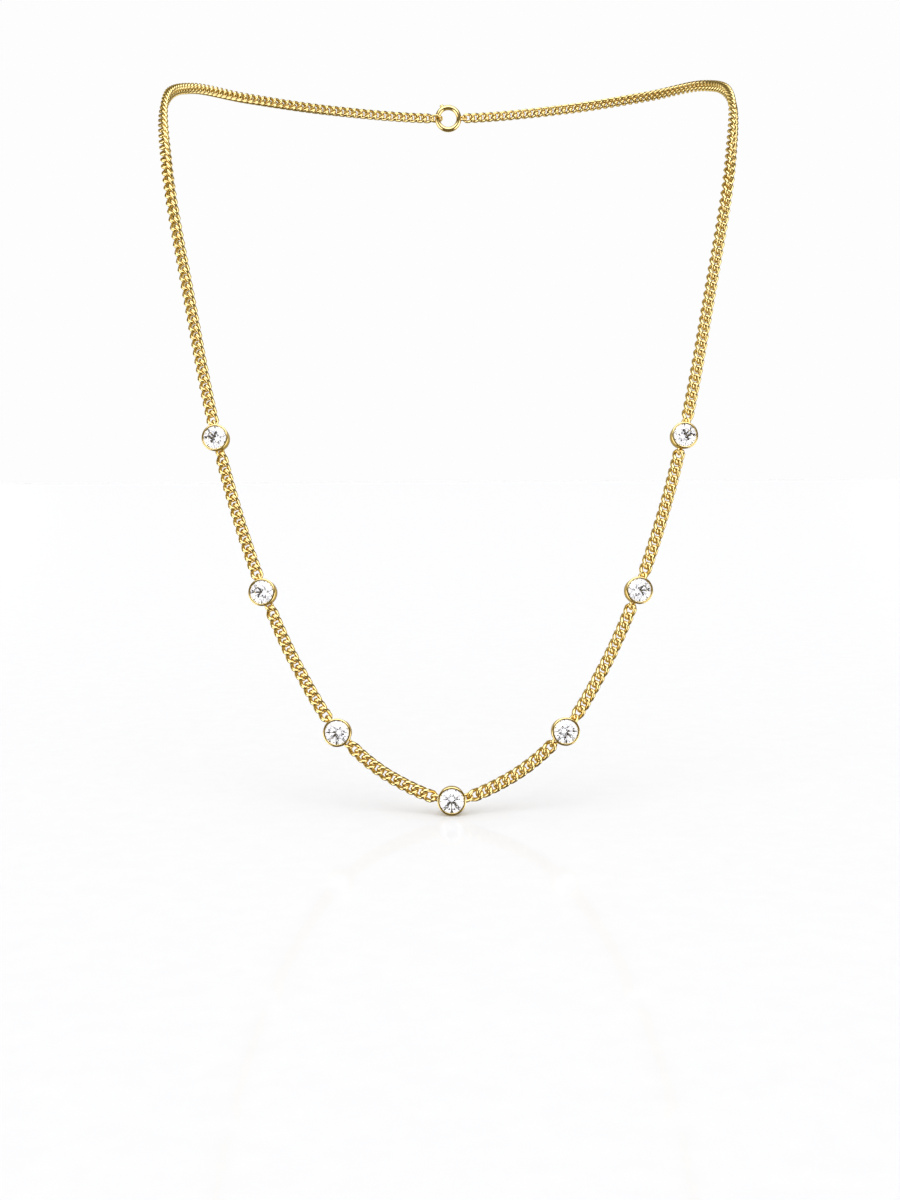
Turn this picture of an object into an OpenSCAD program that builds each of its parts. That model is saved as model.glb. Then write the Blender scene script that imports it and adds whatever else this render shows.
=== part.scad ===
// Necklace of seven round stones in bezels, joined by curb chain, as it hangs round a neck.
// Origin: the middle of the clasp at the nape. X is the wearer's left, Y points back, Z up.

/* [Stones] */
// Diameter of a stone at its girdle
stone_d = 4; // [3.6:0.1:4]
// Width of the table as a share of the diameter
table_share = 0.57; // [0.5:0.01:0.65]
// Slope of the crown from the girdle plane, in degrees
crown_slope = 34; // [30:1:38]
// Slope of the pavilion from the girdle plane, in degrees
pavilion_slope = 41; // [38:1:42]
// Height of the girdle band
girdle_h = 0.12; // [0.08:0.01:0.16]

/* [Bezels] */
// Outer diameter at the rim
rim_d = 4.6; // [4.5:0.1:5]
// Outer diameter at the base
base_d = 4.1; // [3.6:0.1:4.3]
// Height from base to rim
collet_h = 2.4; // [2.4:0.1:3]
// Height of the chain's line above the base
chain_line = 0.9; // [0.8:0.05:1.1]
// Width of the rim pushed over the edge of the stone
lip_w = 0.1; // [0.08:0.01:0.2]
// Gap between a stone and its bezel
stone_gap = 0.04; // [0.03:0.01:0.06]
// Bore in the base, behind the point of the stone
back_bore_d = 1.8; // [1.2:0.1:2.2]
// Wire of the eye soldered to each side
eye_wire = 0.4; // [0.3:0.02:0.44]

/* [Chain] */
// Width of the curb chain
chain_w = 2.08; // [1.9:0.02:2.2]
// Wire of a link
wire_d = 0.57; // [0.4:0.01:0.6]
// Distance from one link to the next
pitch = 1.57; // [1.56:0.005:1.64]
// Distance from the middle of a link to the middle of its end wire
link_reach = 1.17; // [1.16:0.01:1.2]
// Rise and fall of the twisted link from its middle plane
link_twist = 0.48; // [0.4:0.01:0.5]
// Gap between an end link and what it passes through
gap = 0.15; // [0.12:0.01:0.16]

/* [Link counts] */
// Links between the middle bezel and the next
front_links = 10; // [8:1:10]
// Links between the second bezel and the third
middle_links = 13; // [10:1:13]
// Links between the third bezel and the last
outer_links = 14; // [11:1:14]
// Links modelled one by one above the last bezel
side_links = 32; // [24:1:32]
// Links modelled one by one beside the clasp
end_links = 2; // [1:1:3]

/* [Clasp] */
// Mean diameter of the clasp ring
clasp_d = 4.7; // [4.6:0.1:6]
// Wire of the clasp ring
clasp_wire = 1.1; // [1:0.05:1.2]
// Mean diameter of the ring that the clasp holds
end_ring_d = 2.7; // [2.6:0.02:2.8]
// Wire of that ring
end_ring_wire = 0.5; // [0.44:0.02:0.54]

/* [Hidden] */

gold = "#d9a93f";
stone_white = "#e9eef5";

// Right half of the loop from the front to the nape: [across, forward of the nape, below the nape]
STATIONS = [
    [0, 101, 128], [8.9, 99.5, 125.1], [17.6, 96.5, 118.6], [24.7, 92.9, 108.3], [30.4, 89, 96.7],
    [35, 85.1, 84.6], [38.9, 80.9, 71.8], [44.7, 72.7, 46.8], [49.6, 64.5, 22.6], [51.9, 52.5, 9],
    [50, 35, 2.2], [41.5, 18.2, 0], [26, 6, -0.5], [0, 0, 0]
];
// Turn of the chain's flat face from straight ahead: [distance from the front, degrees]
FACE_TURN = [[0, 0], [48, 9], [76, 14], [102, 24], [130, 36], [155, 78], [185, 125], [226, 180]];
// Way that each bezel faces, from the middle one outwards: [degrees turned out, degrees lifted]
BEZEL_FACE = [[0, 2], [6, 8], [8, 9], [5, 8]];

// Straight steps between two stations
steps = 10;
// Sides shown on a turned piece, round a bend of wire and round the wire itself
turned_fn = 96;
bend_fn = 64;
wire_fn = 32;
loop_pts = [for (p = STATIONS) [p[0], -p[1], -p[2]]];
last = len(loop_pts) - 1;

function unit(v) = v / norm(v);
function mirrored(p) = [-p[0], p[1], p[2]];
// The stations beyond each end are the mirror images of those before it
function station(i) =
    i < 0 ? mirrored(loop_pts[-i]) : i > last ? mirrored(loop_pts[2 * last - i]) : loop_pts[i];
// Slope of the curve at a station, from the chords on both sides
function slope(i) =
    let (before = station(i) - station(i - 1), after = station(i + 1) - station(i))
    (before / norm(before) * norm(after) + after / norm(after) * norm(before)) / (norm(before) + norm(after));
// Point of the smooth curve at a share k of the way from station i to the next
function between(i, k) =
    let (a = station(i), b = station(i + 1), l = norm(b - a), k2 = k * k, k3 = k * k * k)
    a * (2 * k3 - 3 * k2 + 1) + b * (3 * k2 - 2 * k3)
    + slope(i) * l * (k3 - 2 * k2 + k) + slope(i + 1) * l * (k3 - k2);
curve = [for (i = [0 : last - 1], j = [0 : steps - 1]) between(i, j / steps), loop_pts[last]];
chords = [for (i = [1 : len(curve) - 1]) norm(curve[i] - curve[i - 1])];
// Distance from the front at each point of the curve
runs = [for (i = 0, s = 0; i < len(curve); s = s + (i < len(chords) ? chords[i] : 0), i = i + 1) s];
half_loop = runs[len(runs) - 1];
by_run = [for (axis = [0 : 2]) [for (i = [0 : len(curve) - 1]) [runs[i], curve[i][axis]]]];

// Point of the loop at a signed distance from the front, positive towards +X
function half_at(s) = [for (axis = [0 : 2]) lookup(s, by_run[axis])];
function folded(s) = s > half_loop ? s - 2 * half_loop : s < -half_loop ? s + 2 * half_loop : s;
function at(s) = let (f = folded(s)) f < 0 ? mirrored(half_at(-f)) : half_at(f);
function along(s) = unit(at(s + pitch / 2) - at(s - pitch / 2));
function face_turn(s) = let (f = folded(s)) sign(f) * lookup(abs(f), FACE_TURN);
// Direction of the chain's flat face, square to the chain
function facing(s) =
    let (out = [sin(face_turn(s)), -cos(face_turn(s)), 0], t = along(s))
    unit(out - t * (out * t));
function sideways(s) = cross(facing(s), along(s));

// Distances of bezels and links from the front
eye_out = rim_d / 2 - (rim_d - base_d) / 2 * (collet_h - chain_line) / collet_h;
bezel_to_link = eye_out + gap + wire_d / 2 + link_reach;
clasp_out = clasp_d / 2 + clasp_wire / 2;
clasp_to_link = clasp_out + gap + wire_d / 2 + link_reach;
function stretch(n) = 2 * bezel_to_link + (n - 1) * pitch;
bezel_runs = [
    0, stretch(front_links), stretch(front_links) + stretch(middle_links),
    stretch(front_links) + stretch(middle_links) + stretch(outer_links)
];
function bezel_run(i) = i < 0 ? -bezel_runs[-i] : bezel_runs[i];
side_start = bezel_runs[3] + bezel_to_link;
tube_start = side_start + (side_links - 1) * pitch + link_reach + wire_d / 2 + gap;
tube_end = half_loop - clasp_to_link - (end_links - 1) * pitch - link_reach - wire_d / 2 - gap;

// Puts a shape at p with its X axis along x and its Z axis as near n as can be
module aim(p, x, n) {
    u = unit(x);
    w = unit(n - u * (n * u));
    v = cross(w, u);
    multmatrix([
        [u[0], v[0], w[0], p[0]],
        [u[1], v[1], w[1], p[1]],
        [u[2], v[2], w[2], p[2]]
    ]) children();
}

// Puts a shape at bezel i with its Z axis out of the bezel's face and its Y axis as near upright as can be
module on_face(i) {
    turn = sign(i) * BEZEL_FACE[abs(i)][0];
    lift = BEZEL_FACE[abs(i)][1];
    n = [sin(turn) * cos(lift), -cos(turn) * cos(lift), sin(lift)];
    aim(at(bezel_run(i)), cross([0, 0, 1], n), n) children();
}

// Curb links

// Points round a link, and sides of its wire
link_stations = 10;
wire_sides = 5;

// Middle of the wire of a link whose own axes are t, w and n
function link_path(u, t, w, n) =
    t * link_reach * cos(u) + w * (chain_w - wire_d) / 2 * sin(u) - n * link_twist * sin(2 * u);
function link_points(s) =
    let (t = along(s), w = sideways(s), n = facing(s), p = at(s))
    [for (i = [0 : link_stations - 1])
        let (
            u = 360 * i / link_stations,
            c = link_path(u, t, w, n),
            d = unit(link_path(u + 1, t, w, n) - link_path(u - 1, t, w, n)),
            out = unit(c - d * (c * d)),
            up = cross(d, out)
        )
        for (j = [0 : wire_sides - 1])
            let (v = 360 * j / wire_sides)
            p + c + (out * cos(v) + up * sin(v)) * wire_d / 2
    ];
function corner(link, i, j) =
    (link * link_stations + i % link_stations) * wire_sides + j % wire_sides;
function link_faces(link) = [
    for (i = [0 : link_stations - 1], j = [0 : wire_sides - 1], half = [0, 1])
        half == 0
            ? [corner(link, i, j), corner(link, i + 1, j), corner(link, i + 1, j + 1)]
            : [corner(link, i, j), corner(link, i + 1, j + 1), corner(link, i, j + 1)]
];

// A run of links, each through the next, the first with its middle at start
module links(start, count) {
    polyhedron(
        points = [for (k = [0 : count - 1]) each link_points(start + k * pitch)],
        faces = [for (k = [0 : count - 1]) each link_faces(k)],
        convexity = 6
    );
}

module chain_between(i, count) {
    color(gold) links(bezel_run(i) + bezel_to_link, count);
}

// Bezels

// Mean radius of an eye's bend, the length of its legs inside the wall, and its turn about the chain
eye_bend = 0.58;
eye_root = 0.35;
eye_turn = -45;
// Height above the chain's line where the wall is thin, and the metal left there inside a leg's end
thin_wall_z = 0.6;
leg_cover = 0.06;

// Eye of round wire on a wall whose outside is at x = wall, passing round an end link
module eye(wall) {
    tip = wall + 2 * gap + wire_d + eye_wire / 2;
    rotate([eye_turn, 0, 0]) {
        translate([tip - eye_bend, 0, 0]) rotate([0, 0, -90])
            rotate_extrude(angle = 180, $fn = bend_fn)
                translate([eye_bend, 0]) circle(d = eye_wire, $fn = wire_fn);
        for (side = [-1, 1])
            translate([wall - eye_root, side * eye_bend, 0]) rotate([0, 90, 0])
                cylinder(h = tip - eye_bend - wall + eye_root, d = eye_wire, $fn = wire_fn);
    }
}

// Heights above the chain's line
rim_z = collet_h - chain_line;
crown_h = (stone_d - stone_d * table_share) / 2 * tan(crown_slope);
// Depth of the lip below the rim's top, and the slope of its inner face over the crown, in degrees
lip_h = 0.26;
lip_slope = 47;
girdle_top = rim_z - lip_h - stone_gap;
girdle_low = girdle_top - girdle_h;
lip_r = stone_d / 2 - lip_w;
seat_r = stone_d / 2 + stone_gap;
culet_z = girdle_low - stone_d / 2 * tan(pavilion_slope);

base_bevel = 0.12;
// Points of the rounded rim: [in from its outside, below its top]
RIM_OUTER = [[0.02, 0.22], [0.08, 0.08], [0.22, 0]];
// Points of the lip's rounded edge: [out from its inside, below the rim's top]
LIP_EDGE = [[0.04, 0.03], [0, 0.09]];

// Wall of the collet in section, from the bore at the base round the outside to the seat
module collet_section() {
    bore = back_bore_d / 2;
    side_gap = stone_gap / cos(pavilion_slope);
    polygon([
        [bore, -chain_line],
        [base_d / 2 - base_bevel, -chain_line],
        [base_d / 2, -chain_line + base_bevel],
        for (p = RIM_OUTER) [rim_d / 2 - p[0], rim_z - p[1]],
        for (p = LIP_EDGE) [lip_r + p[0], rim_z - p[1]],
        [lip_r, rim_z - lip_h + (stone_d / 2 - lip_r) * tan(lip_slope)],
        [seat_r, rim_z - lip_h],
        [seat_r, girdle_low - side_gap],
        [bore, girdle_low - side_gap - (seat_r - bore) * tan(pavilion_slope)]
    ]);
}

// Puts a shape in line with the link at s, its origin a given distance behind the link's middle
module behind_link(s, side, distance) {
    aim(at(s) - along(s) * side * distance, along(s) * side, facing(s)) children();
}

module bezel(i) {
    s = bezel_run(i);
    color(gold) {
        on_face(i) rotate_extrude($fn = turned_fn) collet_section();
        difference() {
            for (side = [-1, 1]) behind_link(s + side * bezel_to_link, side, bezel_to_link) eye(eye_out);
            on_face(i) translate([0, 0, thin_wall_z])
                cylinder(r = seat_r + leg_cover, h = rim_z - thin_wall_z, $fn = turned_fn);
        }
    }
}

// Stones

facets = 8;
// Corners of the star facets, as a share of the way from the table's edge to the girdle
star_share = 0.61;
// Corners of the lower girdle facets, as a share of the stone's radius
half_share = 0.22;
function ring_pt(r, z, a) = [r * cos(a), r * sin(a), z];

// Round brilliant: table, star, kite and girdle facets above, main and girdle facets below
module brilliant() {
    n = facets;
    girdle = stone_d / 2;
    table_r = girdle * table_share;
    star_r = table_r + (girdle - table_r) * star_share;
    half_r = girdle * half_share;
    table_z = girdle_top + crown_h;
    // Each kite is flat: its side corners lie on the plane through its table corner and girdle corner
    kite_slope = crown_h / (girdle - table_r);
    star_z = table_z - (star_r * cos(180 / n) - table_r) * kite_slope;
    main_slope = (girdle_low - culet_z) / girdle;
    half_z = culet_z + half_r * cos(180 / n) * main_slope;
    points = [
        for (k = [0 : n - 1]) ring_pt(table_r, table_z, 360 * k / n),
        for (k = [0 : n - 1]) ring_pt(star_r, star_z, 360 * (k + 0.5) / n),
        for (k = [0 : 2 * n - 1]) ring_pt(girdle, girdle_top, 180 * k / n),
        for (k = [0 : 2 * n - 1]) ring_pt(girdle, girdle_low, 180 * k / n),
        for (k = [0 : n - 1]) ring_pt(half_r, half_z, 360 * (k + 0.5) / n),
        [0, 0, culet_z]
    ];
    star = n;
    top = 2 * n;
    low = 4 * n;
    half = 6 * n;
    tip = 7 * n;
    faces = [
        [for (k = [n - 1 : -1 : 0]) k],
        for (k = [0 : n - 1]) let (m = (k + 1) % n, b = (k + n - 1) % n) each [
            [k, m, star + k],
            [k, star + k, top + 2 * k],
            [k, top + 2 * k, star + b],
            [star + k, top + 2 * k + 1, top + 2 * k],
            [star + k, top + 2 * m, top + 2 * k + 1],
            [low + 2 * k, low + 2 * k + 1, half + k],
            [low + 2 * k + 1, low + 2 * m, half + k],
            [low + 2 * k, half + k, tip],
            [low + 2 * k, tip, half + b]
        ],
        for (k = [0 : 2 * n - 1]) let (m = (k + 1) % (2 * n)) each [
            [top + k, top + m, low + m],
            [top + k, low + m, low + k]
        ]
    ];
    polyhedron(points = points, faces = faces, convexity = 2);
}

module stone(i) {
    color(stone_white) on_face(i) brilliant();
}

// Back of the loop

tube_sides = 8;
tube_rings = 20;
// Width of the bar as a share of the chain's width
tube_share = 0.9;

// Chain round the nape as a plain round bar along the loop
module back_chain(side) {
    r = chain_w / 2 * tube_share;
    points = [
        for (k = [0 : tube_rings - 1])
            let (s = tube_start + (tube_end - tube_start) * k / (tube_rings - 1))
            for (j = [0 : tube_sides - 1])
                let (v = 360 * j / tube_sides)
                at(side * s) + (sideways(side * s) * cos(v) + facing(side * s) * sin(v)) * r
    ];
    end = (tube_rings - 1) * tube_sides;
    faces = [
        [for (j = [0 : tube_sides - 1]) side > 0 ? j : tube_sides - 1 - j],
        for (k = [0 : tube_rings - 2], j = [0 : tube_sides - 1])
            let (
                a = k * tube_sides + j,
                b = k * tube_sides + (j + 1) % tube_sides,
                c = b + tube_sides,
                d = a + tube_sides
            )
            each side > 0 ? [[a, d, c], [a, c, b]] : [[a, c, d], [a, b, c]],
        [for (j = [0 : tube_sides - 1]) side > 0 ? end + tube_sides - 1 - j : end + j]
    ];
    color(gold) polyhedron(points = points, faces = faces, convexity = 4);
}

module end_chain(side) {
    first = half_loop - clasp_to_link;
    color(gold) links(side > 0 ? first - (end_links - 1) * pitch : -first, end_links);
}

module ring(d, wire) {
    rotate_extrude($fn = bend_fn) translate([d / 2, 0]) circle(d = wire, $fn = wire_fn);
}

// Thumb knob of the clasp: its size, its depth in the ring and its place round it
knob_d = 0.8;
knob_h = 0.6;
knob_root = 0.2;
knob_turn = 118;
// Distance of the end ring's middle inside the outer edge of the clasp, and its turn about the chain
end_ring_in = 0.15;
end_ring_turn = 15;

// Closed ring clasp with the eye of its chain and a small thumb knob
module clasp() {
    color(gold) behind_link(half_loop - clasp_to_link, -1, clasp_to_link) eye(clasp_out);
    color(gold) rotate([90, 0, 0]) {
        ring(clasp_d, clasp_wire);
        rotate([0, 0, knob_turn]) translate([clasp_out - knob_root, 0, 0])
            rotate([0, 90, 0]) cylinder(h = knob_h, d = knob_d, $fn = wire_fn);
    }
}

module end_ring() {
    color(gold) behind_link(clasp_to_link - half_loop, 1, clasp_to_link)
        translate([clasp_out - end_ring_in, 0, 0]) rotate([90 + end_ring_turn, 0, 0])
            ring(end_ring_d, end_ring_wire);
}

bezel(-3);  // bezel_1
bezel(-2);  // bezel_2
bezel(-1);  // bezel_3
bezel(0);  // bezel_4
bezel(1);  // bezel_5
bezel(2);  // bezel_6
bezel(3);  // bezel_7
stone(-3);  // stone_1
stone(-2);  // stone_2
stone(-1);  // stone_3
stone(0);  // stone_4
stone(1);  // stone_5
stone(2);  // stone_6
stone(3);  // stone_7
chain_between(-3, outer_links);  // chain_1_2
chain_between(-2, middle_links);  // chain_2_3
chain_between(-1, front_links);  // chain_3_4
chain_between(0, front_links);  // chain_4_5
chain_between(1, middle_links);  // chain_5_6
chain_between(2, outer_links);  // chain_6_7
color(gold) links(side_start, side_links);  // side_chain_left
color(gold) links(-side_start - (side_links - 1) * pitch, side_links);  // side_chain_right
back_chain(1);  // back_chain_left
back_chain(-1);  // back_chain_right
end_chain(1);  // end_links_left
end_chain(-1);  // end_links_right
clasp();
end_ring();
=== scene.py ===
"""Looks of a necklace: seven round stones in bezels, joined by curb chain, as it hangs round a neck.

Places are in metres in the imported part's frame: X is the wearer's left, Y points back, Z up, and the
origin is the middle of the clasp at the nape. Small pieces are modelled on a bench in millimetres, round
their own origin, and are then set in their place on the loop.
"""

import bisect
import logging
import math
from collections.abc import Callable, Iterator
from contextlib import contextmanager
from dataclasses import dataclass, field
from enum import Enum

import bmesh
import bpy
from mathutils import Matrix, Vector


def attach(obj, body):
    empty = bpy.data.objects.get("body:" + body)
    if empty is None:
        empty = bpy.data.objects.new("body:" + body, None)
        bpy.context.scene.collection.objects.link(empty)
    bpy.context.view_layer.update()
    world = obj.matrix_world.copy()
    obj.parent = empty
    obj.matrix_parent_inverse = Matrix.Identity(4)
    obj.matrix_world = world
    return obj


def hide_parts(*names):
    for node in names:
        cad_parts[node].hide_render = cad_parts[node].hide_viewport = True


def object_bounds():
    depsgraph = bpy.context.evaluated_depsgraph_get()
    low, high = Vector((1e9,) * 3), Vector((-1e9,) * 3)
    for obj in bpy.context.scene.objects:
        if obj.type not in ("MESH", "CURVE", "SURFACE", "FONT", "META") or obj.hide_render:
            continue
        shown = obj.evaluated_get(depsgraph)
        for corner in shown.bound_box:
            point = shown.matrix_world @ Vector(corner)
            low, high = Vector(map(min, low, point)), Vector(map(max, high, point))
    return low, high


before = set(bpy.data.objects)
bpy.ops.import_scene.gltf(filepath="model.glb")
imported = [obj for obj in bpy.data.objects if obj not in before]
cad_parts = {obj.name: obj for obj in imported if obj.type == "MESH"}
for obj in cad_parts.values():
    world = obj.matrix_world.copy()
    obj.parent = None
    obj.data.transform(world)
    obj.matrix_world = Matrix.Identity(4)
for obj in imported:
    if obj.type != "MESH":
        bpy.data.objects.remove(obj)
CAD_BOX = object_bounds()

BODY = "root"
MM = 0.001
# Corners nearer than this are one, in millimetres
SAME_MM = 1e-4
# A face whose normal has more than this along an axis is square to it
SQUARE = 0.9
LOG = logging.getLogger("necklace")

# Sockets of the Mix node, which has several of each name: two colours or two levels, and what comes out
COLOUR_A, COLOUR_B, COLOUR_OUT = 6, 7, 2
LEVEL_A, LEVEL_B, LEVEL_OUT = 2, 3, 0


class Side(Enum):
    """The two halves of the loop, by the wearer's side."""

    LEFT = 1
    RIGHT = -1


class Element(Enum):
    """What edit mode picks."""

    CORNER = "VERT"
    EDGE = "EDGE"
    FACE = "FACE"


# Materials


def linear(colour: str) -> tuple[float, float, float, float]:
    """Linear RGBA of an sRGB hex colour.

    Args:
        colour: Six hex digits with a leading hash.

    Returns:
        Red, green and blue in linear light, and full alpha.
    """
    shares = [int(colour[i : i + 2], 16) / 255 for i in (1, 3, 5)]
    lit = [c / 12.92 if c <= 0.04045 else ((c + 0.055) / 1.055) ** 2.4 for c in shares]
    return (*lit, 1.0)


def add_node(
    tree: bpy.types.NodeTree, kind: str, inputs: dict[str | int, object] | None = None, **settings: object
) -> bpy.types.Node:
    """Adds a node with its settings and links.

    Args:
        tree: The node tree that it joins.
        kind: Blender's name of the kind of node.
        inputs: Value, or output socket of another node, by the name or number of the input.
        settings: Properties of the node itself.

    Returns:
        The new node.
    """
    node = tree.nodes.new(kind)
    for name, value in settings.items():
        setattr(node, name, value)
    for socket, value in (inputs or {}).items():
        if isinstance(value, bpy.types.NodeSocket):
            tree.links.new(value, node.inputs[socket])
        else:
            node.inputs[socket].default_value = value
    return node


def new_material(name: str) -> tuple[bpy.types.Material, bpy.types.NodeTree]:
    """A material with an empty node tree.

    Args:
        name: The material's name.

    Returns:
        The material and its tree.
    """
    material = bpy.data.materials.new(name)
    material.use_nodes = True
    material.node_tree.nodes.clear()
    return material, material.node_tree


@dataclass(frozen=True)
class PolishedGold:
    """14-carat yellow gold, cast or drawn, then barrel polished.

    The eye sees a warm mirror: pale cream where it meets the light, deep brown where gold reflects gold,
    and a slight softening from the polishing grit.
    """

    bright: str = "#F0DB9F"
    deep: str = "#E3C985"
    edge: str = "#C6B27C"
    tone_mm: float = 1.2
    tone_detail: float = 2.0
    # Real polishing grit is too fine to show, so its marks are drawn as coarse as they need
    grit_mm: float = 0.12
    grit_detail: float = 3.0
    grit_height_mm: float = 0.004
    grit_strength: float = 0.4
    smoothest: float = 0.1
    roughest: float = 0.2

    def material(self) -> bpy.types.Material:
        """Builds the material."""
        material, tree = new_material("polished_yellow_gold")
        place = add_node(tree, "ShaderNodeTexCoord").outputs["Object"]
        tone = add_node(
            tree,
            "ShaderNodeTexNoise",
            {"Vector": place, "Scale": 1 / (self.tone_mm * MM), "Detail": self.tone_detail},
        )
        colour = add_node(
            tree,
            "ShaderNodeMix",
            {"Factor": tone.outputs["Fac"], COLOUR_A: linear(self.bright), COLOUR_B: linear(self.deep)},
            data_type="RGBA",
        )
        grit = add_node(
            tree,
            "ShaderNodeTexNoise",
            {"Vector": place, "Scale": 1 / (self.grit_mm * MM), "Detail": self.grit_detail},
        )
        roughness = add_node(
            tree,
            "ShaderNodeMapRange",
            {"Value": grit.outputs["Fac"], "To Min": self.smoothest, "To Max": self.roughest},
        )
        bump = add_node(
            tree,
            "ShaderNodeBump",
            {
                "Height": grit.outputs["Fac"],
                "Distance": self.grit_height_mm * MM,
                "Strength": self.grit_strength,
            },
        )
        metal = add_node(
            tree,
            "ShaderNodeBsdfPrincipled",
            {
                "Base Color": colour.outputs[COLOUR_OUT],
                "Metallic": 1.0,
                "Specular Tint": linear(self.edge),
                "Roughness": roughness.outputs["Result"],
                "Normal": bump.outputs["Normal"],
            },
        )
        add_node(tree, "ShaderNodeOutputMaterial", {"Surface": metal.outputs["BSDF"]})
        return material


@dataclass(frozen=True)
class CutDiamond:
    """Colourless diamond, cut and lapped to flat facets.

    The eye sees white flashes and grey arrows, with a breath of lavender where the light crosses the stone.
    """

    clear: str = "#FFFFFF"
    breath: str = "#EEEDF8"
    cloud_mm: float = 0.9
    cloud_detail: float = 1.0
    ior: float = 2.42

    def material(self) -> bpy.types.Material:
        """Builds the material."""
        material, tree = new_material("cut_diamond")
        place = add_node(tree, "ShaderNodeTexCoord").outputs["Object"]
        cloud = add_node(
            tree,
            "ShaderNodeTexNoise",
            {"Vector": place, "Scale": 1 / (self.cloud_mm * MM), "Detail": self.cloud_detail},
        )
        colour = add_node(
            tree,
            "ShaderNodeMix",
            {"Factor": cloud.outputs["Fac"], COLOUR_A: linear(self.clear), COLOUR_B: linear(self.breath)},
            data_type="RGBA",
        )
        glass = add_node(
            tree,
            "ShaderNodeBsdfPrincipled",
            {
                "Base Color": colour.outputs[COLOUR_OUT],
                "Roughness": 0.0,
                "IOR": self.ior,
                "Transmission Weight": 1.0,
            },
        )
        add_node(tree, "ShaderNodeOutputMaterial", {"Surface": glass.outputs["BSDF"]})
        return material


@dataclass(frozen=True)
class PaleFloor:
    """Glazed white studio board. It mirrors what lies on it faintly, and has a slight mottle.

    Its white is a little cool, against the warm light that the room adds, so the eye sees a plain white.
    """

    white: str = "#F7F9FE"
    shade: str = "#F3F5FA"
    mottle_mm: float = 3.0
    roughness: float = 0.08
    shine: float = 0.13

    def material(self) -> bpy.types.Material:
        """Builds the material."""
        material, tree = new_material("white_board")
        place = add_node(tree, "ShaderNodeTexCoord").outputs["Object"]
        mottle = add_node(
            tree, "ShaderNodeTexNoise", {"Vector": place, "Scale": 1 / (self.mottle_mm * MM)}
        )
        colour = add_node(
            tree,
            "ShaderNodeMix",
            {"Factor": mottle.outputs["Fac"], COLOUR_A: linear(self.white), COLOUR_B: linear(self.shade)},
            data_type="RGBA",
        )
        board = add_node(tree, "ShaderNodeBsdfDiffuse", {"Color": colour.outputs[COLOUR_OUT]})
        glaze = add_node(tree, "ShaderNodeBsdfGlossy", {"Roughness": self.roughness})
        both = add_node(
            tree, "ShaderNodeMixShader", {0: self.shine, 1: board.outputs["BSDF"], 2: glaze.outputs["BSDF"]}
        )
        add_node(tree, "ShaderNodeOutputMaterial", {"Surface": both.outputs["Shader"]})
        return material


# The loop


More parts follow.
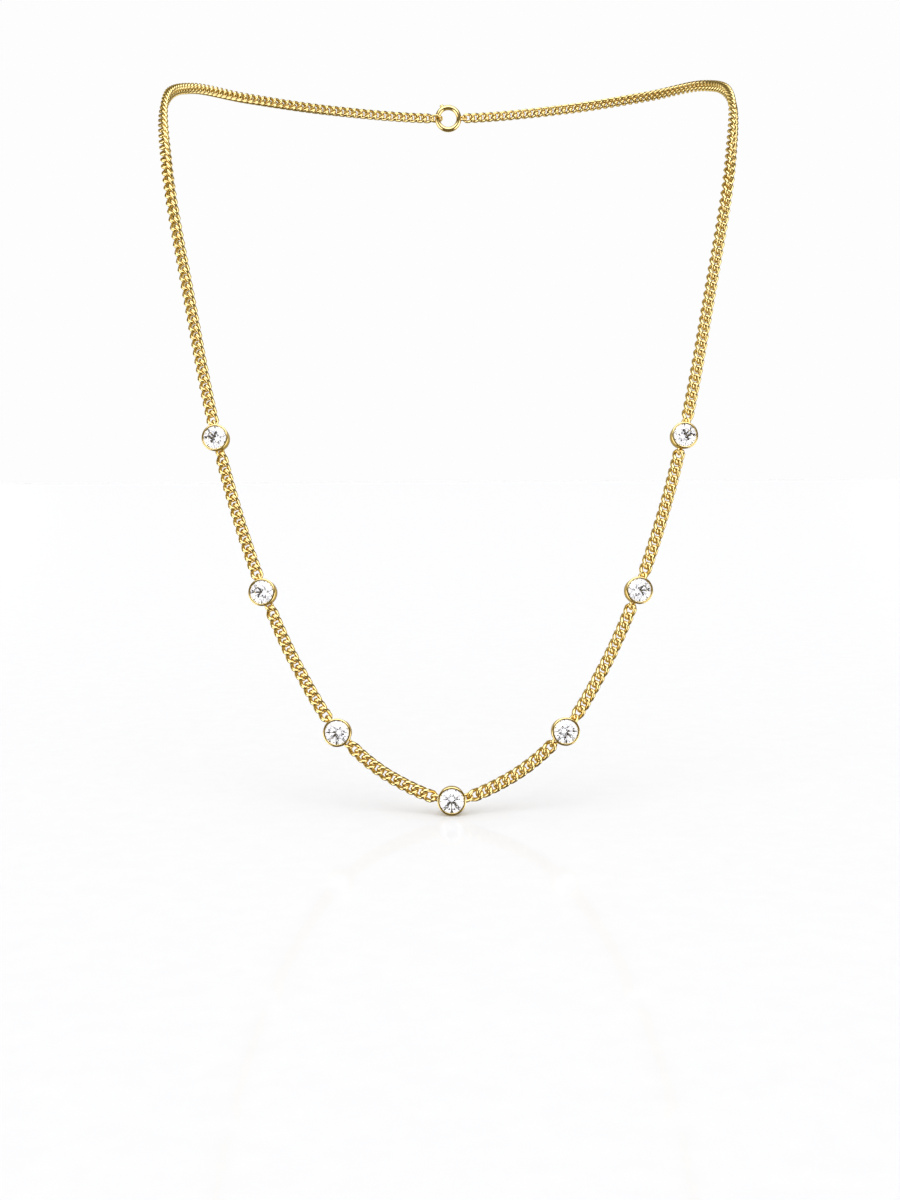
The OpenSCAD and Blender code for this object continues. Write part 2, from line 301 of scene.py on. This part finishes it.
@dataclass(frozen=True)
class NeckLoop:
    """The line that the chain follows, as the part's source sets it out, in millimetres.

    stations holds points of its left half from the front to the nape: across, forward of the nape, and
    below it. turns holds distances from the front and the turn of the chain's face there, in degrees. steps
    is the number of points from one station to the next. A direction is taken over reach to each side.
    """

    stations: tuple[tuple[float, float, float], ...] = (
        (0, 101, 128), (8.9, 99.5, 125.1), (17.6, 96.5, 118.6), (24.7, 92.9, 108.3), (30.4, 89, 96.7),
        (35, 85.1, 84.6), (38.9, 80.9, 71.8), (44.7, 72.7, 46.8), (49.6, 64.5, 22.6), (51.9, 52.5, 9),
        (50, 35, 2.2), (41.5, 18.2, 0), (26, 6, -0.5), (0, 0, 0),
    )
    turns: tuple[tuple[float, float], ...] = (
        (0, 0), (48, 9), (76, 14), (102, 24), (130, 36), (155, 78), (185, 125), (226, 180)
    )
    steps: int = 10
    reach: float = 0.785
    points: list[Vector] = field(init=False, compare=False)
    runs: list[float] = field(init=False, compare=False)

    def __post_init__(self) -> None:
        """Works out the points of the smooth line and their distances from the front."""
        last = len(self.stations) - 1
        points = [self._between(i, j / self.steps) for i in range(last) for j in range(self.steps)]
        points.append(self._station(last))
        runs = [0.0]
        for before, after in zip(points, points[1:]):
            runs.append(runs[-1] + (after - before).length)
        object.__setattr__(self, "points", points)
        object.__setattr__(self, "runs", runs)

    @property
    def half(self) -> float:
        """Length of half the loop."""
        return self.runs[-1]

    def _station(self, i: int) -> Vector:
        """A station in the part's axes. Past each end it is the mirror image of one before it."""
        last = len(self.stations) - 1
        folded = -i if i < 0 else 2 * last - i if i > last else i
        across, forward, below = self.stations[folded]
        return Vector((across if folded == i else -across, -forward, -below))

    def _slope(self, i: int) -> Vector:
        """Direction of the line at a station, from the chords on both sides."""
        before = self._station(i) - self._station(i - 1)
        after = self._station(i + 1) - self._station(i)
        weighted = before.normalized() * after.length + after.normalized() * before.length
        return weighted / (before.length + after.length)

    def _between(self, i: int, k: float) -> Vector:
        """The point at a share k of the way from station i to the next, on a Hermite curve."""
        a, b = self._station(i), self._station(i + 1)
        length = (b - a).length
        return (
            a * (2 * k**3 - 3 * k**2 + 1)
            + b * (3 * k**2 - 2 * k**3)
            + self._slope(i) * length * (k**3 - 2 * k**2 + k)
            + self._slope(i + 1) * length * (k**3 - k**2)
        )

    def _folded(self, s: float) -> float:
        """A distance from the front brought back onto the loop where it passes the nape."""
        if abs(s) > self.half:
            return s - math.copysign(2 * self.half, s)
        return s

    def at(self, s: float) -> Vector:
        """The point at a signed distance from the front, positive towards the wearer's left."""
        folded = self._folded(s)
        run = min(abs(folded), self.half)
        i = min(bisect.bisect_right(self.runs, run), len(self.runs) - 1)
        share = (run - self.runs[i - 1]) / (self.runs[i] - self.runs[i - 1])
        point = self.points[i - 1].lerp(self.points[i], share)
        return Vector((math.copysign(1, folded) * point.x, point.y, point.z))

    def along(self, s: float) -> Vector:
        """Direction of the chain."""
        return (self.at(s + self.reach) - self.at(s - self.reach)).normalized()

    def facing(self, s: float) -> Vector:
        """Direction of the chain's flat face, square to the chain."""
        folded = self._folded(s)
        run = abs(folded)
        turn = self.turns[-1][1]
        for (low, low_turn), (high, high_turn) in zip(self.turns, self.turns[1:]):
            if run < high:
                turn = low_turn + (high_turn - low_turn) * (run - low) / (high - low)
                break
        angle = math.radians(math.copysign(turn, folded))
        out = Vector((math.sin(angle), -math.cos(angle), 0))
        direction = self.along(s)
        return (out - direction * out.dot(direction)).normalized()

    def seat(self, s: float, back: float = 0.0, side: Side = Side.LEFT) -> Matrix:
        """The place of a piece that lies in line with the chain.

        Args:
            s: Distance of the link from the front.
            back: Distance of the piece's origin behind the middle of that link.
            side: The way that the piece's X axis points along the loop.

        Returns:
            A matrix whose X axis is along the chain and whose Z axis is out of its face.
        """
        direction = self.along(s) * side.value
        return aimed(self.at(s) - direction * back, direction, self.facing(s))


def aimed(place: Vector, x: Vector, z: Vector) -> Matrix:
    """A matrix at a place, its X axis along x and its Z axis as near z as can be."""
    u = x.normalized()
    w = (z - u * z.dot(u)).normalized()
    matrix = Matrix((u, w.cross(u), w)).transposed().to_4x4()
    matrix.translation = place
    return matrix


# Work on the bench


def choose(*objects: bpy.types.Object) -> None:
    """Selects these objects alone, and makes the first one active."""
    bpy.ops.object.select_all(action="DESELECT")
    for item in objects:
        item.select_set(True)
    bpy.context.view_layer.objects.active = objects[0]


def added(name: str, operator: Callable[..., set[str]], **settings: object) -> bpy.types.Object:
    """Adds a primitive with nothing else selected.

    Args:
        name: The new object's name.
        operator: The operator that adds it.
        settings: The operator's own settings.

    Returns:
        The new object.
    """
    bpy.ops.object.select_all(action="DESELECT")
    operator(**settings)
    item = bpy.context.active_object
    item.name = name
    return item


@contextmanager
def edited(item: bpy.types.Object, element: Element = Element.FACE) -> Iterator[None]:
    """Puts an object in edit mode with nothing picked.

    Args:
        item: The object.
        element: What is to be picked.

    Yields:
        Nothing, while edit mode lasts.
    """
    choose(item)
    bpy.ops.object.mode_set(mode="EDIT")
    bpy.ops.mesh.select_mode(type=element.value)
    bpy.ops.mesh.select_all(action="DESELECT")
    yield
    bpy.ops.object.mode_set(mode="OBJECT")


def pick_faces(item: bpy.types.Object, test: Callable[[bmesh.types.BMFace], bool]) -> None:
    """Picks the faces of an edited object that pass a test."""
    mesh = bmesh.from_edit_mesh(item.data)
    for face in mesh.faces:
        face.select_set(test(face))
    bmesh.update_edit_mesh(item.data)


def pick_edges(item: bpy.types.Object, test: Callable[[bmesh.types.BMEdge], bool]) -> None:
    """Picks the edges of an edited object that pass a test."""
    mesh = bmesh.from_edit_mesh(item.data)
    for edge in mesh.edges:
        edge.select_set(test(edge))
    bmesh.update_edit_mesh(item.data)


def copied(item: bpy.types.Object, place: Matrix) -> bpy.types.Object:
    """A copy of an object with its own mesh, moved to a place on the bench."""
    twin = item.copy()
    twin.data = item.data.copy()
    twin.data.transform(place)
    bpy.context.scene.collection.objects.link(twin)
    return twin


def joined(name: str, items: list[bpy.types.Object]) -> bpy.types.Object:
    """Joins objects into one, and gives it a name."""
    choose(*items)
    if len(items) > 1:
        bpy.ops.object.join()
    whole = bpy.context.active_object
    whole.name = whole.data.name = name
    return whole


def closed(item: bpy.types.Object) -> None:
    """Merges the doubles of an object's mesh and turns its faces outwards."""
    with edited(item, Element.CORNER):
        bpy.ops.mesh.select_all(action="SELECT")
        bpy.ops.mesh.remove_doubles(threshold=SAME_MM)
        bpy.ops.mesh.normals_make_consistent(inside=False)


def finished(
    item: bpy.types.Object, gold: bpy.types.Material, node: str, smooth_angle: float = 35.0
) -> None:
    """Brings a gold piece from the bench to its real size and dresses it.

    Args:
        item: The piece, in millimetres.
        gold: Its finish.
        node: The node that it stands for.
        smooth_angle: Edges sharper than this stay sharp, in degrees.
    """
    item.data.transform(Matrix.Scale(MM, 4))
    choose(item)
    bpy.ops.object.shade_smooth_by_angle(angle=math.radians(smooth_angle))
    item.data.materials.clear()
    item.data.materials.append(gold)
    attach(item, BODY)
    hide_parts(node)
    LOG.info("%s: %d faces, for %s", item.name, len(item.data.polygons), node)


# The pieces


@dataclass(frozen=True)
class CurbLink:
    """One link of round wire, twisted so that its neighbours lie flat. Sizes in millimetres.

    fullness is how far the drawn wire stands proud of the part's own, and reach is from the link's middle
    to the wire's middle at its end. handle is a Bezier curve's, for a quarter of a circle of radius 1.
    """

    wire: float = 0.57
    fullness: float = 0.04
    width: float = 2.08
    reach: float = 1.17
    twist: float = 0.48
    pitch: float = 1.57
    handle: float = 0.5523
    steps_per_quarter: int = 3
    bevel_steps: int = 1
    smooth_angle: float = 80.0

    def build(self) -> bpy.types.Object:
        """Bends the wire round on the bench, its length along X and its face along Z."""
        item = added("link", bpy.ops.curve.primitive_bezier_circle_add, radius=1.0)
        curve = item.data
        half = (self.width - self.wire) / 2
        # The curve gets three quarters as high as its handles
        rise = self.twist * 4 / 3
        corners = (
            (Vector((self.reach, 0, 0)), Vector((0, half * self.handle, -rise))),
            (Vector((0, half, 0)), Vector((-self.reach * self.handle, 0, rise))),
            (Vector((-self.reach, 0, 0)), Vector((0, -half * self.handle, -rise))),
            (Vector((0, -half, 0)), Vector((self.reach * self.handle, 0, rise))),
        )
        for point, (place, arm) in zip(curve.splines[0].bezier_points, corners):
            point.handle_left_type = point.handle_right_type = "FREE"
            point.co = place
            point.handle_left = place - arm
            point.handle_right = place + arm
        curve.resolution_u = self.steps_per_quarter
        curve.bevel_depth = self.wire / 2 + self.fullness
        curve.bevel_resolution = self.bevel_steps
        choose(item)
        bpy.ops.object.convert(target="MESH")
        item = bpy.context.active_object
        closed(item)
        return item


@dataclass(frozen=True)
class Bezel:
    """A tapered collet whose rim is pushed over the stone, with an eye of wire on each side.

    Sizes are in millimetres, and angles in degrees. polish is the metal taken off the rim, chain_line is
    the chain's height above the base, and depths are below the rim's top. pavilion_slope is that of the
    stone's underside, which the seat follows down to the bore. The eye's legs end eye_root inside the wall.
    faces holds the way that each bezel faces, from the middle one outwards: turned out, and lifted.
    """

    rim_r: float = 2.3
    polish: float = 0.012
    base_r: float = 2.05
    height: float = 2.4
    chain_line: float = 0.9
    lip_r: float = 1.9
    lip_edge: float = 0.13
    lip_depth: float = 0.26
    seat_r: float = 2.04
    seat_depth: float = 0.47
    bore_r: float = 0.9
    pavilion_slope: float = 41.0
    rim_round: float = 0.2
    rim_segments: int = 5
    lip_round: float = 0.07
    base_round: float = 0.12
    edge_segments: int = 3
    sides: int = 96
    eye_wire: float = 0.4
    eye_bend: float = 0.58
    eye_root: float = 0.12
    eye_turn: float = -45.0
    eye_fullness: float = 0.03
    eye_segments: int = 32
    eye_sides: int = 12
    gap: float = 0.15
    faces: tuple[tuple[float, float], ...] = ((0, 2), (6, 8), (8, 9), (5, 8))

    @property
    def rim_z(self) -> float:
        """Height of the rim's top above the chain's line."""
        return self.height - self.chain_line

    @property
    def eye_out(self) -> float:
        """Radius of the wall at the chain's line."""
        return self.rim_r - (self.rim_r - self.base_r) * self.rim_z / self.height

    def face(self, place: int) -> Vector:
        """The way that a bezel faces, by its place from the middle one, which is 0."""
        turn, lift = (math.radians(angle) for angle in self.faces[abs(place)])
        turn = math.copysign(turn, place)
        return Vector((math.sin(turn) * math.cos(lift), -math.cos(turn) * math.cos(lift), math.sin(lift)))

    def build_collet(self) -> bpy.types.Object:
        """Turns the collet from a cone: the lip, the seat under it, and the bore through the base."""
        base_z = -self.chain_line
        rim_r = self.rim_r - self.polish
        item = added(
            "collet",
            bpy.ops.mesh.primitive_cone_add,
            vertices=self.sides,
            radius1=self.base_r,
            radius2=rim_r,
            depth=self.height,
            location=(0, 0, (self.rim_z + base_z) / 2),
        )
        bpy.ops.object.transform_apply(location=True)
        seat_z = self.rim_z - self.seat_depth
        floor_z = seat_z - (self.seat_r - self.bore_r) * math.tan(math.radians(self.pavilion_slope))
        inside = (
            (self.lip_r, self.rim_z),
            (self.lip_r, self.rim_z - self.lip_edge),
            (self.seat_r, self.rim_z - self.lip_depth),
            (self.seat_r, seat_z),
            (self.bore_r, floor_z),
            (self.bore_r, base_z),
        )
        with edited(item):
            pick_faces(item, lambda face: face.normal.z > SQUARE)
            radius, height = rim_r, self.rim_z
            for new_radius, new_height in inside:
                bpy.ops.mesh.extrude_region_move(
                    TRANSFORM_OT_translate={"value": (0, 0, new_height - height)}
                )
                share = new_radius / radius
                bpy.ops.transform.resize(value=(share, share, 1), center_override=(0, 0, new_height))
                radius, height = new_radius, new_height
            bpy.ops.mesh.delete(type="FACE")
            pick_faces(item, lambda face: face.normal.z < -SQUARE and len(face.verts) == self.sides)
            bpy.ops.mesh.extrude_region_move(TRANSFORM_OT_translate={"value": (0, 0, 0)})
            share = self.bore_r / self.base_r
            bpy.ops.transform.resize(value=(share, share, 1), center_override=(0, 0, base_z))
            bpy.ops.mesh.delete(type="FACE")
        closed(item)
        rounded = (
            (rim_r, self.rim_z, self.rim_round, self.rim_segments),
            (self.lip_r, self.rim_z, self.lip_round, self.edge_segments),
            (self.base_r, base_z, self.base_round, self.edge_segments),
        )
        for radius, height, offset, segments in rounded:
            with edited(item, Element.EDGE):
                pick_edges(item, lambda edge: self._on_ring(edge, radius, height))
                bpy.ops.mesh.bevel(offset=offset, segments=segments, affect="EDGES")
        return item

    @staticmethod
    def _on_ring(edge: bmesh.types.BMEdge, radius: float, height: float, near: float = 1e-3) -> bool:
        """Whether both ends of an edge are at this radius and height, to within near."""
        return all(
            abs(math.hypot(end.co.x, end.co.y) - radius) < near and abs(end.co.z - height) < near
            for end in edge.verts
        )

    def build_eye(self, wall: float, wire: float) -> bpy.types.Object:
        """Bends an eye that stands on a wall and passes round an end link's wire.

        Args:
            wall: Distance of the wall's outside from the origin, along X.
            wire: Wire of the link.

        Returns:
            The eye, half a ring with two straight legs.
        """
        tip = wall + 2 * self.gap + wire + self.eye_wire / 2
        middle = tip - self.eye_bend
        item = added(
            "eye",
            bpy.ops.mesh.primitive_torus_add,
            location=(middle, 0, 0),
            major_segments=self.eye_segments,
            minor_segments=self.eye_sides,
            major_radius=self.eye_bend,
            minor_radius=self.eye_wire / 2 + self.eye_fullness,
        )
        bpy.ops.object.transform_apply(location=True)
        with edited(item, Element.CORNER):
            bpy.ops.mesh.select_all(action="SELECT")
            bpy.ops.mesh.bisect(
                plane_co=(middle, 0, 0), plane_no=(1, 0, 0), clear_inner=True, use_fill=True
            )
            bpy.ops.mesh.select_mode(type=Element.FACE.value)
            pick_faces(item, lambda face: abs(face.calc_center_median().x - middle) < SAME_MM)
            bpy.ops.mesh.extrude_region_move(
                TRANSFORM_OT_translate={"value": (wall - self.eye_root - middle, 0, 0)}
            )
        item.data.transform(Matrix.Rotation(math.radians(self.eye_turn), 4, "X"))
        closed(item)
        return item


@dataclass(frozen=True)
class RingClasp:
    """A closed ring clasp with a thumb knob and its eye, and the ring that it holds.

    Sizes are in millimetres, and angles in degrees. knob_turn is the knob's place round the clasp, up from
    the wearer's left. The end ring's middle lies end_ring_in inside the clasp's outer radius, and the ring
    is turned by end_ring_turn about the chain's line.
    """

    mean_d: float = 4.7
    wire: float = 1.1
    ring_segments: int = 64
    ring_sides: int = 20
    knob_d: float = 0.8
    knob_h: float = 0.6
    knob_root: float = 0.2
    knob_turn: float = 118.0
    knob_round: float = 0.14
    knob_sides: int = 32
    knob_segments: int = 3
    end_ring_d: float = 2.7
    end_ring_wire: float = 0.5
    end_ring_in: float = 0.15
    end_ring_turn: float = 15.0

    @property
    def out(self) -> float:
        """Outer radius of the clasp."""
        return (self.mean_d + self.wire) / 2

    def build_ring(self, name: str, mean_d: float, wire: float) -> bpy.types.Object:
        """Turns a round ring that stands upright, its axis along Y.

        Args:
            name: The ring's name on the bench.
            mean_d: Diameter of the line through the middle of its wire.
            wire: Diameter of the wire.

        Returns:
            The ring.
        """
        item = added(
            name,
            bpy.ops.mesh.primitive_torus_add,
            major_segments=self.ring_segments,
            minor_segments=self.ring_sides,
            major_radius=mean_d / 2,
            minor_radius=wire / 2,
        )
        item.data.transform(Matrix.Rotation(math.radians(90), 4, "X"))
        return item

    def build_knob(self) -> bpy.types.Object:
        """Turns a short pin with a rounded head, standing on the clasp."""
        low = self.out - self.knob_root
        item = added(
            "knob",
            bpy.ops.mesh.primitive_cylinder_add,
            vertices=self.knob_sides,
            radius=self.knob_d / 2,
            depth=self.knob_h,
            location=(0, 0, low + self.knob_h / 2),
        )
        bpy.ops.object.transform_apply(location=True)
        with edited(item, Element.EDGE):
            top = low + self.knob_h
            pick_edges(item, lambda edge: all(abs(end.co.z - top) < SAME_MM for end in edge.verts))
            bpy.ops.mesh.bevel(offset=self.knob_round, segments=self.knob_segments, affect="EDGES")
        item.data.transform(Matrix.Rotation(math.radians(90 - self.knob_turn), 4, "Y"))
        return item


@dataclass
class Necklace:
    """The whole necklace, set out along the loop from the front to the clasp.

    stretch_links counts the links between the bezels, from the middle outwards, side_links those above the
    last bezel, and end_links those beside the clasp. A bezel's place counts outwards from the middle one,
    which is 0, up to outermost towards the wearer's left and down to minus outermost on the right.
    """

    gold: bpy.types.Material
    diamond: bpy.types.Material
    loop: NeckLoop = field(default_factory=NeckLoop)
    link: CurbLink = field(default_factory=CurbLink)
    bezel: Bezel = field(default_factory=Bezel)
    clasp: RingClasp = field(default_factory=RingClasp)
    stretch_links: tuple[int, ...] = (10, 13, 14)
    side_links: int = 32
    end_links: int = 2

    @property
    def outermost(self) -> int:
        """Place of the last bezel on the wearer's left."""
        return len(self.stretch_links)

    def number(self, place: int) -> int:
        """Number of a bezel in the names, which count from 1 on the wearer's right."""
        return place + self.outermost + 1

    @property
    def bezel_to_link(self) -> float:
        """From the middle of a bezel to the middle of the link beside it."""
        return self.bezel.eye_out + self.bezel.gap + self.link.wire / 2 + self.link.reach

    @property
    def clasp_to_link(self) -> float:
        """From the middle of the clasp to the middle of the link beside it."""
        return self.clasp.out + self.bezel.gap + self.link.wire / 2 + self.link.reach

    def bezel_run(self, place: int) -> float:
        """Distance of a bezel from the front, along the loop."""
        counts = self.stretch_links[: abs(place)]
        stretches = (2 * self.bezel_to_link + (n - 1) * self.link.pitch for n in counts)
        return math.copysign(sum(stretches), place)

    def build_chain(
        self, link: bpy.types.Object, name: str, node: str, first: float, count: int, pitch: float
    ) -> None:
        """Sets out a run of links, each through the next, and dresses it.

        Args:
            link: The link on the bench.
            name: The name of the finished run.
            node: The node that it stands for.
            first: Distance of its first link from the front.
            count: How many links it has.
            pitch: Distance from one link to the next.
        """
        links = [copied(link, self.loop.seat(first + k * pitch)) for k in range(count)]
        finished(joined(name, links), self.gold, node, self.link.smooth_angle)

    def build_chains(self) -> None:
        """Builds every stretch of chain, from the middle bezel to the clasp on both sides."""
        link = self.link.build()
        pitch = self.link.pitch
        for place in range(-self.outermost, self.outermost):
            count = self.stretch_links[place if place >= 0 else -place - 1]
            first = self.bezel_run(place) + self.bezel_to_link
            ends = f"{self.number(place)}_{self.number(place + 1)}"
            self.build_chain(link, f"curb_links_{ends}", f"chain_{ends}", first, count, pitch)
        side_first = self.bezel_run(self.outermost) + self.bezel_to_link
        side_last = side_first + (self.side_links - 1) * pitch
        end_last = self.loop.half - self.clasp_to_link
        end_first = end_last - (self.end_links - 1) * pitch
        back_count = round((end_first - side_last) / pitch) - 1
        back_pitch = (end_first - side_last) / (back_count + 1)
        for side in Side:
            name = side.name.lower()
            runs = (
                ("side_chain", side_first, self.side_links, pitch),
                ("back_chain", side_last + back_pitch, back_count, back_pitch),
                ("end_links", end_first, self.end_links, pitch),
            )
            for part, near, count, spacing in runs:
                far = near + (count - 1) * spacing
                first = near if side is Side.LEFT else -far
                self.build_chain(link, f"curb_{part}_{name}", f"{part}_{name}", first, count, spacing)
        bpy.data.objects.remove(link)

    def build_bezels(self) -> None:
        """Builds the seven bezels, each with its collet and two eyes."""
        collet = self.bezel.build_collet()
        eye = self.bezel.build_eye(self.bezel.eye_out, self.link.wire)
        for place in range(-self.outermost, self.outermost + 1):
            s = self.bezel_run(place)
            out = self.bezel.face(place)
            parts = [copied(collet, aimed(self.loop.at(s), Vector((0, 0, 1)).cross(out), out))]
            for side in Side:
                seat = self.loop.seat(s + side.value * self.bezel_to_link, self.bezel_to_link, side)
                parts.append(copied(eye, seat))
            node = f"bezel_{self.number(place)}"
            finished(joined(f"gold_{node}", parts), self.gold, node)
        for item in (collet, eye):
            bpy.data.objects.remove(item)

    def build_clasp(self) -> None:
        """Builds the clasp on the wearer's left and the ring that it holds on the right."""
        out = self.clasp.out
        ring = self.clasp.build_ring("clasp_ring", self.clasp.mean_d, self.clasp.wire)
        knob = self.clasp.build_knob()
        s = self.loop.half - self.clasp_to_link
        eye = self.bezel.build_eye(out, self.link.wire)
        eye.data.transform(self.loop.seat(s, self.clasp_to_link, Side.RIGHT))
        finished(joined("gold_clasp", [ring, knob, eye]), self.gold, "clasp")
        end_ring = self.clasp.build_ring("end", self.clasp.end_ring_d, self.clasp.end_ring_wire)
        seat = self.loop.seat(-s, self.clasp_to_link, Side.LEFT)
        turn = Matrix.Rotation(math.radians(self.clasp.end_ring_turn), 4, "X")
        end_ring.data.transform(seat @ Matrix.Translation((out - self.clasp.end_ring_in, 0, 0)) @ turn)
        finished(joined("gold_end_ring", [end_ring]), self.gold, "end_ring")

    def dress_stones(self) -> None:
        """Gives the cut stones their finish. Their facets are right as they are."""
        for name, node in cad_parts.items():
            if name.startswith("stone_"):
                node.data.materials.clear()
                node.data.materials.append(self.diamond)
                LOG.info("%s: dressed as cut diamond", name)

    def build(self) -> None:
        """Builds and dresses all of it."""
        self.build_chains()
        self.build_bezels()
        self.build_clasp()
        self.dress_stones()


# The studio


@dataclass(frozen=True)
class Lamp:
    """A soft round light, far off. Angles in degrees.

    azimuth is 0 towards the camera and 90 towards the wearer's left, elevation is upwards. The light is
    even out to radius and falls off over soft.
    """

    azimuth: float
    elevation: float
    radius: float
    soft: float
    level: float

    def add(
        self, tree: bpy.types.NodeTree, way: bpy.types.NodeSocket, dark: float = 0.0
    ) -> bpy.types.NodeSocket:
        """Adds the nodes that give its level.

        Args:
            tree: The world's node tree.
            way: The direction that a ray leaves in.
            dark: The level outside the light.

        Returns:
            The level in that direction.
        """
        turn, rise = math.radians(self.azimuth), math.radians(self.elevation)
        middle = (math.sin(turn) * math.cos(rise), -math.cos(turn) * math.cos(rise), math.sin(rise))
        near = add_node(tree, "ShaderNodeVectorMath", {0: way, 1: middle}, operation="DOT_PRODUCT")
        return add_node(
            tree,
            "ShaderNodeMapRange",
            {
                "Value": near.outputs["Value"],
                "From Min": math.cos(math.radians(self.radius + self.soft)),
                "From Max": math.cos(math.radians(self.radius)),
                "To Min": dark,
                "To Max": self.level,
            },
            interpolation_type="SMOOTHSTEP",
        ).outputs["Result"]


@dataclass(frozen=True)
class Studio:
    """A pale floor, soft studio lights, and the photograph's camera. Metres and degrees."""

    floor_gap: float = 0.0001
    floor_size: float = 8.0
    camera_place: tuple[float, float, float] = (0, -0.321, -0.07525)
    camera_turn: tuple[float, float, float] = (84.5, 0.3, 0)
    near_clip: float = 0.01
    # Millimetres, as on the camera
    lens: float = 42.68
    film_height: float = 36.0
    backdrop: str = "#FDFDFD"
    # Light all round that falls on matt surfaces
    fill: float = 0.86
    # What polished metal mirrors: the dim warm room, and the white lights overhead, low at both sides,
    # behind, and low behind at both sides
    room: float = 0.2
    dim: str = "#E2C98C"
    lit: str = "#FFFFFF"
    lamps: tuple[Lamp, ...] = (
        Lamp(azimuth=0, elevation=60, radius=32, soft=14, level=2.5),
        Lamp(azimuth=-60, elevation=-20, radius=20, soft=12, level=2.6),
        Lamp(azimuth=60, elevation=-20, radius=20, soft=12, level=2.6),
        Lamp(azimuth=180, elevation=0, radius=45, soft=20, level=0.62),
        Lamp(azimuth=-138, elevation=-8, radius=18, soft=12, level=0.7),
        Lamp(azimuth=138, elevation=-8, radius=18, soft=12, level=0.7),
    )
    # What shines through the stones: white all round, and the dark round the camera
    through: float = 1.6
    watcher: Lamp = Lamp(azimuth=0, elevation=3, radius=15, soft=4, level=0.04)

    def build_floor(self) -> None:
        """Lays the floor just below the lowest bezel."""
        floor_z = CAD_BOX[0][2] - self.floor_gap
        floor = added(
            "floor", bpy.ops.mesh.primitive_plane_add, size=self.floor_size, location=(0, 0, floor_z)
        )
        bpy.ops.object.transform_apply(location=True)
        floor.data.materials.append(PaleFloor().material())
        floor.visible_glossy = floor.visible_transmission = False

    def build_light(self) -> None:
        """Surrounds the object with light, and shows each kind of surface its own part of the studio."""
        world = bpy.data.worlds.new("soft_studio")
        world.use_nodes = True
        bpy.context.scene.world = world
        tree = world.node_tree
        tree.nodes.clear()
        way = add_node(tree, "ShaderNodeTexCoord").outputs["Generated"]
        mirrored: float | bpy.types.NodeSocket = self.room
        for lamp in self.lamps:
            mirrored = add_node(
                tree, "ShaderNodeMath", {0: mirrored, 1: lamp.add(tree, way)}, operation="ADD"
            ).outputs["Value"]
        ray = add_node(tree, "ShaderNodeLightPath")
        choices = (
            ("Is Transmission Ray", self.watcher.add(tree, way, dark=self.through)),
            ("Is Diffuse Ray", self.fill),
            # The stones see white light alone, so the tone below is chosen apart from the level
            ("Is Transmission Ray", 1.0),
        )
        levels = [mirrored]
        for test, other in choices:
            chosen = add_node(
                tree,
                "ShaderNodeMix",
                {"Factor": ray.outputs[test], LEVEL_A: levels[-1], LEVEL_B: other},
                data_type="FLOAT",
            )
            levels.append(chosen.outputs[LEVEL_OUT])
        level, whiteness = levels[-2:]
        tone = add_node(
            tree,
            "ShaderNodeMix",
            {"Factor": whiteness, COLOUR_A: linear(self.dim), COLOUR_B: linear(self.lit)},
            data_type="RGBA",
        ).outputs[COLOUR_OUT]
        soft = add_node(tree, "ShaderNodeBackground", {"Color": tone, "Strength": level})
        plain = add_node(tree, "ShaderNodeBackground", {"Color": linear(self.backdrop), "Strength": 1.0})
        both = add_node(
            tree,
            "ShaderNodeMixShader",
            {
                0: ray.outputs["Is Camera Ray"],
                1: soft.outputs["Background"],
                2: plain.outputs["Background"],
            },
        )
        add_node(tree, "ShaderNodeOutputWorld", {"Surface": both.outputs["Shader"]})

    def build_camera(self) -> None:
        """Sets up the camera where the photograph was taken from."""
        camera = added(
            "camera",
            bpy.ops.object.camera_add,
            location=self.camera_place,
            rotation=[math.radians(angle) for angle in self.camera_turn],
        )
        camera.data.sensor_fit = "VERTICAL"
        camera.data.sensor_height = self.film_height
        camera.data.lens = self.lens
        camera.data.clip_start = self.near_clip
        bpy.context.scene.camera = camera
        bpy.context.scene.view_settings.view_transform = "Standard"

    def build(self) -> None:
        """Builds the floor, the light and the camera."""
        self.build_camera()
        self.build_floor()
        self.build_light()


def main() -> None:
    """Builds the studio and the necklace in it."""
    logging.basicConfig(level=logging.INFO, format="%(name)s: %(message)s")
    Studio().build()
    Necklace(gold=PolishedGold().material(), diamond=CutDiamond().material()).build()


if __name__ == "__main__":
    main()
